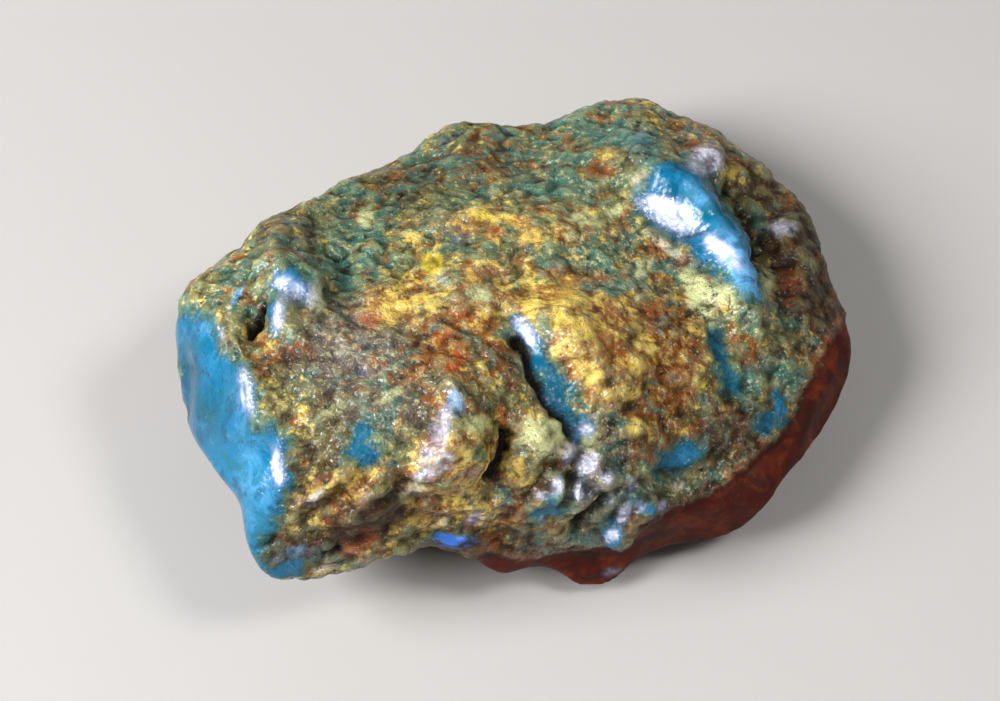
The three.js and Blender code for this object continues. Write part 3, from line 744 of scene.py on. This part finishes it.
class Nodes:
    """Lays out a material's nodes, one call for each."""

    def __init__(self, material, colours):
        self.tree = material.node_tree
        self.tree.nodes.clear()
        self.colours = colours
        self.values = {}
        self.column = 0

    def add(self, kind, inputs=(), **settings):
        node = self.tree.nodes.new(kind)
        node.location = (self.column * 60, -(self.column % 7) * 160)
        self.column += 1
        for name, value in settings.items():
            setattr(node, name, value)
        for name, value in dict(inputs).items():
            self.feed(node.inputs[name], value)
        return node

    def feed(self, socket, value):
        if isinstance(value, bpy.types.NodeSocket):
            self.tree.links.new(value, socket)
        else:
            socket.default_value = value

    def math(self, operation, first, second=0.0, clamp=False):
        node = self.add("ShaderNodeMath", {0: first, 1: second}, operation=operation, use_clamp=clamp)
        return node.outputs["Value"]

    def plus(self, first, second):
        return self.math("ADD", first, second)

    def minus(self, first, second):
        return self.math("SUBTRACT", first, second)

    def times(self, first, second):
        return self.math("MULTIPLY", first, second)

    def step(self, value, low, high):
        """0 at low, 1 at high, and a soft change between them. Low may be the greater of the two."""
        inputs = {"Value": value, "From Min": low, "From Max": high}
        return self.add("ShaderNodeMapRange", inputs, interpolation_type="SMOOTHSTEP").outputs["Result"]

    def colour(self, value):
        """What a colour socket takes for the name of a colour, a grey level or another socket."""
        if isinstance(value, str):
            return (*getattr(self.colours, value), 1.0)
        return (value, value, value, 1.0) if isinstance(value, float) else value

    def mix(self, share, first, second):
        node = self.add("ShaderNodeMix", {0: share}, data_type="RGBA")
        for number, colour in zip(MIX_COLOURS, (first, second)):
            self.feed(node.inputs[number], self.colour(colour))
        return node.outputs[MIX_RESULT]

    def layer(self, base, colour, value, low, high, share=1.0):
        """Lays a colour over a base as a value goes from low to high, up to a share of full cover."""
        return self.mix(self.times(self.step(value, low, high), share), base, colour)

    def moved(self, where, offset):
        return self.add("ShaderNodeMapping", {"Vector": where, "Location": offset}).outputs["Vector"]

    def noise(self, where, scale, detail, roughness, distortion=0.0):
        node = self.add("ShaderNodeTexNoise", {"Vector": where, "Scale": scale, "Detail": detail})
        self.feed(node.inputs["Roughness"], roughness)
        self.feed(node.inputs["Distortion"], distortion)
        return node.outputs["Fac"]

    def value(self, name):
        """A number that the mesh stores for each point."""
        if name not in self.values:
            self.values[name] = self.add("ShaderNodeAttribute", attribute_name=name).outputs["Fac"]
        return self.values[name]

    def leaned(self, value, **weights):
        """A noise made stronger or weaker by zones, each with its own weight."""
        for zone, weight in weights.items():
            value = self.plus(value, self.times(self.value(zone), weight))
        return value

    def grey(self, value):
        inputs = {"Red": value, "Green": value, "Blue": value}
        return self.add("ShaderNodeCombineColor", inputs).outputs["Color"]

    def bump(self, strength, distance, height, **normal):
        inputs = {"Strength": strength, "Distance": distance, "Height": height, **normal}
        return self.add("ShaderNodeBump", inputs).outputs["Normal"]


class AmberNodes(Nodes):
    """The nugget's nodes, with the noises that its colours and bumps share, from blotches to specks.

    A noise is about 0.5 on average, and edge about 0. A noise's scale counts lumps in a metre, so 720 gives
    lumps of about 1.4 mm.
    """

    def __init__(self, material, colours):
        super().__init__(material, colours)
        place = self.add("ShaderNodeTexCoord").outputs["Object"]
        second_place = self.moved(place, (0.31, 0.17, 0.53))
        third_place = self.moved(place, (-0.23, 0.71, 0.09))
        self.mottle = self.noise(place, 720.0, 7.0, 0.70, 0.2)
        self.blotch = self.noise(second_place, 400.0, 5.0, 0.64, 0.9)
        self.patch = self.noise(third_place, 480.0, 5.0, 0.64, 0.7)
        self.dust = self.noise(second_place, 1900.0, 4.0, 0.7)
        self.speck = self.noise(place, 3600.0, 2.0, 0.6)
        self.edge = self.minus(self.noise(third_place, 800.0, 6.0, 0.7, 0.6), 0.5)
        bead = self.add("ShaderNodeTexVoronoi", {"Vector": place, "Scale": 2300.0})
        self.bead_reach = bead.outputs["Distance"]
        self.bead_top = self.step(self.bead_reach, 0.55, 0.10)
        self.chances = self.add("ShaderNodeSeparateColor", {"Color": bead.outputs["Color"]}).outputs
        crumble = self.plus(self.times(self.edge, 1.3), self.times(self.minus(self.dust, 0.5), 0.7))
        self.fresh_reach = self.plus(self.value("fresh"), crumble)

    def frayed(self, name, amount=1.0):
        """A stored number with its edges frayed by noise."""
        return self.plus(self.value(name), self.times(self.edge, amount))


def crust_colour(nodes):
    """The crust: amber resin under teal, olive and golden crumbs, with stains, grains and dirty pits, and
    painted shade in small gaps and in the dark brown zone.
    """
    mottle, blotch, patch, dust = nodes.mottle, nodes.blotch, nodes.patch, nodes.dust
    crust = "olive"
    # The dark brown zone lays bark colour on the crust, and is partly painted shade.
    for zone, cover, share in (
        ("green", "teal_green", 1.0), ("dusty", "grey", 1.0), ("amber", "amber", 0.8), ("dim", "bark", 0.9)
    ):
        crust = nodes.layer(crust, cover, nodes.frayed(zone), 0.1, 0.8, share)

    ambers = nodes.leaned(patch, amber=0.08, gilt=0.06, green=-0.05)
    crust = nodes.layer(crust, "amber", ambers, 0.49, 0.60, 0.85)
    teals = nodes.leaned(blotch, green=0.07, gilt=-0.05, dim=-0.04)
    crust = nodes.layer(crust, "teal", teals, 0.51, 0.62, 0.85)
    golds = nodes.leaned(mottle, gilt=0.15, green=-0.03, dim=-0.06, dusty=-0.06)
    crust = nodes.layer(crust, "gold", golds, 0.53, 0.66, 0.95)
    glows = nodes.times(nodes.step(blotch, 0.49, 0.57), nodes.step(nodes.value("gilt"), 0.1, 0.6))
    crust = nodes.mix(nodes.times(glows, 0.75), crust, "amber")
    limes = nodes.leaned(dust, green=0.02, dusty=0.03, gilt=0.02, dim=-0.06)
    crust = nodes.layer(crust, "lime", limes, 0.57, 0.68, 0.60)
    veins = nodes.step(nodes.math("ABSOLUTE", nodes.minus(patch, 0.5)), 0.035, 0.0)
    crust = nodes.mix(nodes.times(nodes.times(veins, nodes.value("gilt")), 0.7), crust, "amber")

    # The stains' colour also carries painted shade in small gaps and a few painted highlights.
    stain = nodes.add("ShaderNodeAttribute", attribute_name="stain").outputs["Color"]
    crust = nodes.layer(crust, stain, nodes.frayed("stained", 1.7), 0.25, 0.80, 0.85)
    pits = nodes.leaned(mottle, gilt=0.09, green=0.03, dim=-0.04)
    crust = nodes.layer(crust, "dark", pits, 0.48, 0.37, 0.90)
    shades = nodes.leaned(blotch, gilt=0.06, green=0.02)
    crust = nodes.layer(crust, "bark", shades, 0.46, 0.36, 0.60)
    dirt = nodes.leaned(dust, gilt=0.06, green=0.02)
    crust = nodes.layer(crust, "dark", dirt, 0.44, 0.32, 0.80)
    crust = nodes.layer(crust, "cream", nodes.leaned(nodes.speck, dusty=0.05), 0.62, 0.72, 0.55)
    flecks = nodes.times(nodes.bead_top, nodes.step(nodes.chances["Green"], 0.70, 0.95))
    bright = nodes.leaned(0.45, gilt=0.4, dim=-0.3, dusty=-0.3)
    fleck_colour = nodes.mix(nodes.step(patch, 0.44, 0.54), "yellow", "rust")
    crust = nodes.mix(nodes.math("MULTIPLY", flecks, bright, clamp=True), crust, fleck_colour)

    crust = nodes.mix(nodes.times(nodes.value("crest"), 0.18), crust, "lime")
    crust = nodes.layer(crust, "teal", nodes.fresh_reach, 0.10, 0.40, 0.65)
    crust = nodes.mix(nodes.times(nodes.value("dusty"), 0.25), crust, "grey")
    # Darker yet where the dark brown zone lies: partly painted shade.
    crust = nodes.mix(nodes.times(nodes.value("dim"), 0.60), crust, "bark")
    rim = nodes.layer("bark", "rust", patch, 0.46, 0.62, 0.6)
    return nodes.layer(crust, rim, nodes.frayed("flank", 1.2), 0.10, 0.50, 0.6)


def resin_colour(nodes):
    """Fresh blue resin: darker where it is thick, teal towards the crust, and pricked with dirt."""
    resin = nodes.layer("fresh", "pale", nodes.frayed("pale"), 0.0, 0.9)
    resin = nodes.layer(resin, "deep", nodes.frayed("deep", 1.5), 0.0, 0.9, 0.8)
    resin = nodes.layer(resin, "sea", nodes.fresh_reach, 0.90, 0.45, 0.6)
    resin = nodes.layer(resin, "sea", nodes.blotch, 0.50, 0.66, 0.6)
    resin = nodes.layer(resin, "deep", nodes.blotch, 0.50, 0.36, 0.7)
    resin = nodes.layer(resin, "pale", nodes.mottle, 0.50, 0.68, 0.15)
    resin = nodes.layer(resin, "cobalt", nodes.frayed("cobalt"), 0.2, 0.8)
    resin = nodes.layer(resin, "teal_green", nodes.dust, 0.62, 0.74, 0.5)
    return nodes.layer(resin, "dark", nodes.speck, 0.64, 0.72, 0.7)


def flank_colour(nodes):
    """The bare cognac flank: darker in blotches, with patches of rust colour that paint a glow of light
    through the resin, and olive specks.
    """
    cognac = nodes.layer(nodes.mix(0.55, "flank", "dark"), "flank", nodes.blotch, 0.36, 0.66)
    # Patches of rust colour: a painted glow of light through the resin.
    cognac = nodes.layer(cognac, "rust", nodes.patch, 0.44, 0.76, 0.35)
    return nodes.layer(cognac, "olive", nodes.mottle, 0.56, 0.66, 0.15)


def with_painted_highlight(nodes, colour, painted_highlight):
    """A colour with painted highlights laid over it: a bluish rim, and a bright core that breaks up into
    bright grains and sparkle dots.
    """
    speckled = nodes.plus(nodes.dust, nodes.times(nodes.minus(nodes.speck, 0.5), 0.7))
    on_crust = nodes.grey(nodes.plus(0.08, nodes.times(nodes.step(speckled, 0.42, 0.64), 0.36)))
    core = nodes.mix(nodes.step(nodes.value("fresh"), 0.70, 0.95), on_crust, 0.75)
    core = nodes.times(nodes.math("POWER", painted_highlight, 2.0), core)
    sparkle = nodes.times(nodes.bead_top, nodes.step(nodes.chances["Red"], 0.2, 1.0))
    core = nodes.plus(core, nodes.times(sparkle, 0.45))
    core = nodes.plus(core, nodes.times(nodes.math("POWER", painted_highlight, 8.0), 0.40))
    colour = nodes.mix(nodes.times(painted_highlight, 0.40), colour, "highlight_halo")
    return nodes.mix(nodes.math("MULTIPLY", painted_highlight, core, clamp=True), colour, "painted_highlight")


def amber_bumps(nodes, flank, grain):
    """The bump of the surface, and that of the wet coat over it, which glints on small beads."""
    fine = nodes.plus(nodes.times(nodes.dust, 0.5), nodes.times(nodes.speck, 0.25))
    crumbs = nodes.plus(nodes.mottle, fine)
    even = nodes.math("MAXIMUM", nodes.step(nodes.value("fresh"), 0.62, 0.88), flank)
    rough = nodes.minus(1.0, nodes.times(even, 0.9))
    film = nodes.bump(nodes.times(rough, 0.5), 1.4 * grain, crumbs)
    beads = nodes.minus(1.0, nodes.math("POWER", nodes.bead_reach, 2.0))
    beaded = nodes.minus(0.9, nodes.times(even, 0.6))
    return nodes.bump(rough, 2.2 * grain, crumbs), nodes.bump(beaded, 1.2 * grain, beads, Normal=film)


def wetness(nodes, fresh, flank, painted_highlight, shaded_hollow):
    """How strong the wet coat is: patchy on crust, full where highlights are painted, and none on the flank
    or in hollows.
    """
    wet = nodes.plus(0.15, nodes.times(nodes.step(nodes.blotch, 0.40, 0.56), 0.75))
    wet = nodes.times(wet, nodes.plus(0.3, nodes.times(nodes.chances["Red"], 0.7)))
    wet = nodes.times(wet, nodes.minus(1.0, nodes.times(nodes.value("dim"), 0.6)))
    wet = nodes.mix(flank, nodes.grey(wet), 0.0)
    wet = nodes.mix(fresh, wet, 0.12)
    wet = nodes.mix(painted_highlight, wet, 1.0)
    return nodes.mix(shaded_hollow, wet, 0.0)


def amber_finish(colours, sizes):
    """Mottled wet-looking crust, glossy blue resin where it is broken, and bare cognac resin on the flank."""
    material = bpy.data.materials.new("rough blue amber")
    material.use_nodes = True
    nodes = AmberNodes(material, colours)
    fresh = nodes.step(nodes.fresh_reach, 0.36, 0.66)
    flank = nodes.step(nodes.frayed("flank"), 0.40, 0.60)
    painted_highlight = nodes.step(nodes.frayed("painted_highlight", 1.4), 0.20, 1.25)
    shaded_hollow = nodes.value("shaded_hollow")

    colour = nodes.mix(flank, crust_colour(nodes), flank_colour(nodes))
    colour = nodes.mix(fresh, colour, resin_colour(nodes))
    # Painted shade: darker in hollows and creases.
    colour = nodes.mix(nodes.times(shaded_hollow, 0.85), with_painted_highlight(nodes, colour, painted_highlight), "dark")
    roughness = nodes.mix(fresh, nodes.mix(nodes.step(nodes.dust, 0.35, 0.65), 0.28, 0.52), 0.16)
    surface_bump, coat_bump = amber_bumps(nodes, flank, sizes.grain)
    shader = nodes.add(
        "ShaderNodeBsdfPrincipled",
        {
            "Base Color": colour,
            "Roughness": nodes.mix(flank, roughness, 0.6),
            "Normal": surface_bump,
            "Transmission Weight": nodes.plus(nodes.times(fresh, 0.03), nodes.times(flank, 0.12)),
            "IOR": 1.54,
            "Specular IOR Level": 0.12,
            "Coat Weight": wetness(nodes, fresh, flank, painted_highlight, shaded_hollow),
            "Coat Roughness": 0.05,
            "Coat IOR": 1.8,
            "Coat Normal": coat_bump,
        },
    ).outputs["BSDF"]
    absorbed = {"Color": (0.95, 0.55, 0.14, 1.0), "Density": 120.0}
    inside = nodes.add("ShaderNodeVolumeAbsorption", absorbed).outputs["Volume"]
    nodes.add("ShaderNodeOutputMaterial", {"Surface": shader, "Volume": inside})
    return material


def plain_finish(name, colour, roughness):
    material = bpy.data.materials.new(name)
    material.use_nodes = True
    shader = material.node_tree.nodes["Principled BSDF"]
    shader.inputs["Base Color"].default_value = (*colour, 1.0)
    shader.inputs["Roughness"].default_value = roughness
    return material


class AMBER_OT_nugget(bpy.types.Operator):
    """Sculpt the nugget over its solid and give it its crust, stains and fresh blue resin"""

    bl_idname = "amber.nugget"
    bl_label = "Nugget"

    def execute(self, context):
        sizes, colours = context.scene.amber_sizes, context.scene.amber_colours
        piece = gridded_copy(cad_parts[NODE], sizes.grid)
        surface = Surface(piece.data, sizes)
        sculpt_marks(surface)
        sculpt_crust(surface)
        paint(surface, colours)
        piece.data.materials.clear()
        piece.data.materials.append(amber_finish(colours, sizes))
        piece.data.polygons.foreach_set("use_smooth", [True] * len(piece.data.polygons))
        piece.data.update()
        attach(piece, "root")
        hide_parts(NODE)
        return {"FINISHED"}


def lay_floor(scene):
    mesh = bpy.data.meshes.new("floor")
    with reshaped(mesh) as shape:
        bmesh.ops.create_grid(shape, x_segments=1, y_segments=1, size=2.0)
    floor = bpy.data.objects.new("floor", mesh)
    scene.collection.objects.link(floor)
    floor.location.z = -FLOOR_GAP
    mesh.materials.append(plain_finish("pale floor", scene.amber_colours.floor, roughness=0.6))


def area_light(name, offset, size, power, colour=(1.0, 1.0, 1.0)):
    """Hangs a round soft light at an offset from the nugget's middle, turned to face it."""
    light = bpy.data.lights.new(name, "AREA")
    light.shape = "DISK"
    light.size = size
    light.energy = power
    light.color = colour
    lamp = bpy.data.objects.new(name, light)
    bpy.context.scene.collection.objects.link(lamp)
    lamp.location = Vector(MIDDLE) * MM + offset
    lamp.rotation_euler = (-offset).to_track_quat("-Z", "Y").to_euler()


def hang_lights(scene):
    """A soft key from the upper left, a small top light, and a weak fill, back light and studio air."""
    key_offset = 0.42 * Vector((-1.115, -0.39, 1.0)).normalized()
    area_light("key", key_offset, size=0.24, power=3.9, colour=(0.97, 0.97, 1.0))
    area_light("top", 0.40 * Vector((0.42, -0.17, 0.86)), size=0.09, power=0.7)
    area_light("fill", Vector((0.30, -0.25, 0.45)), size=0.5, power=0.10, colour=(1.0, 0.97, 0.94))
    area_light("back", Vector((0.1, 0.5, 0.4)), size=0.35, power=0.2)

    world = bpy.data.worlds.new("studio air")
    world.use_nodes = True
    background = world.node_tree.nodes["Background"]
    background.inputs["Color"].default_value = (1.0, 1.0, 1.0, 1.0)
    background.inputs["Strength"].default_value = 0.12
    scene.world = world


def set_camera(scene):
    """Looks straight at the show side's plan, from its reach."""
    camera = bpy.data.cameras.new("camera")
    camera.lens = LENS
    camera.sensor_width = 36.0
    camera.clip_start = 0.005
    camera.clip_end = 20.0
    viewer = bpy.data.objects.new("camera", camera)
    scene.collection.objects.link(viewer)
    viewer.location = Vector(MIDDLE + VIEW_REACH * OUT) * MM
    viewer.rotation_euler = (LEAN, 0.0, 0.0)
    scene.camera = viewer


class AMBER_OT_stage(bpy.types.Operator):
    """Lay a plain pale floor, light it softly and set the camera"""

    bl_idname = "amber.stage"
    bl_label = "Stage"

    def execute(self, context):
        scene = context.scene
        lay_floor(scene)
        hang_lights(scene)
        set_camera(scene)
        scene.view_settings.view_transform = "Standard"
        return {"FINISHED"}


class AMBER_PT_sidebar(bpy.types.Panel):
    """Sizes, colours and steps of the nugget"""

    bl_label = "Blue Amber Nugget"
    bl_idname = "AMBER_PT_sidebar"
    bl_space_type = "VIEW_3D"
    bl_region_type = "UI"
    bl_category = "Amber"

    def draw(self, context):
        layout = self.layout
        for owner in (context.scene.amber_sizes, context.scene.amber_colours):
            for name in owner.__annotations__:
                layout.prop(owner, name)
        for step in STEPS:
            layout.operator(step.bl_idname)


STEPS = (AMBER_OT_nugget, AMBER_OT_stage)
CLASSES = (AmberColours, AmberSizes, *STEPS, AMBER_PT_sidebar)


def register():
    for cls in CLASSES:
        bpy.utils.register_class(cls)
    bpy.types.Scene.amber_colours = PointerProperty(type=AmberColours)
    bpy.types.Scene.amber_sizes = PointerProperty(type=AmberSizes)


def unregister():
    del bpy.types.Scene.amber_sizes
    del bpy.types.Scene.amber_colours
    for cls in reversed(CLASSES):
        bpy.utils.unregister_class(cls)


def main():
    register()
    bpy.ops.amber.nugget()
    bpy.ops.amber.stage()


if __name__ == "__main__":
    main()
